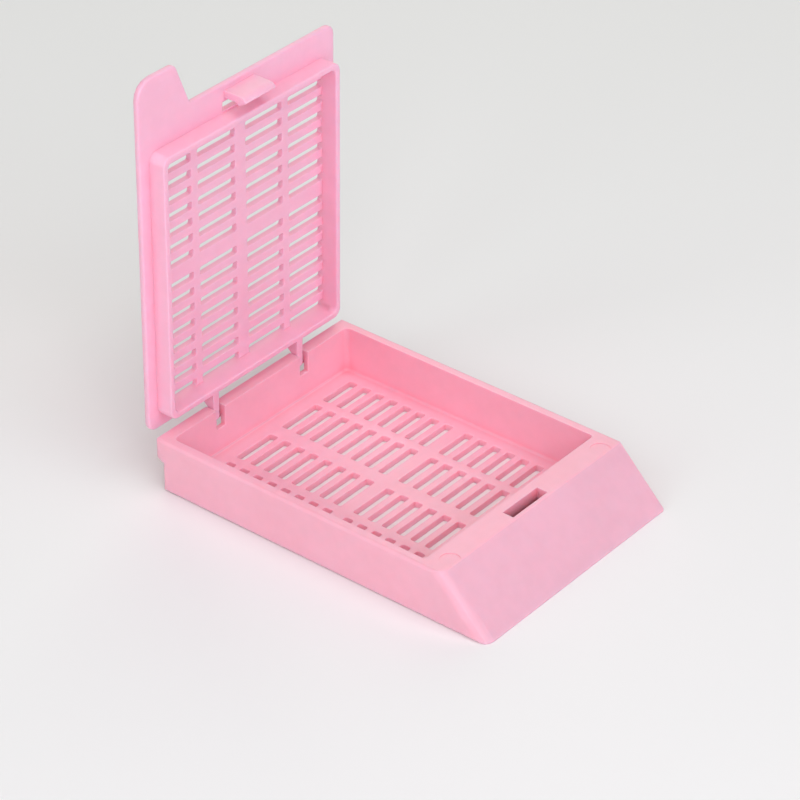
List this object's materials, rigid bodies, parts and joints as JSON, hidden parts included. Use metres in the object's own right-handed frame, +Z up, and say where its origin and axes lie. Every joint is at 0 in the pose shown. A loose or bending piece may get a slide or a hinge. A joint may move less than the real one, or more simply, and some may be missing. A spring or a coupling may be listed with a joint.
{
  "type": "tissue cassette",
  "caption": "Slotted rectangular tray with a 45 degree writing end and a hinged slotted lid that stands open, with a latch tongue and a corner pull tab.",
  "frame": {"origin": "middle of the tray's flat underside", "axes": "+X along the tray from the hinge end to the sloped writing end, +Y across it, +Z up out of the tray and along the open lid"},
  "size_m": [0.0425, 0.0286, 0.0444],
  "materials": {
    "tray_plastic": "satin pink acetal, slightly translucent",
    "lid_plastic": "satin pink acetal, slightly translucent"
  },
  "bodies": {
    "tray": {"tray": "tray_plastic"},
    "lid": {"lid": "lid_plastic"}
  },
  "joints": [
    {"name": "lid_hinge", "type": "hinge", "parent": "tray", "child": "lid", "pos_m": [-0.01993, 0, 0.00447], "axis": [0, 1, 0], "range_deg": [-90, 90]}
  ]
}
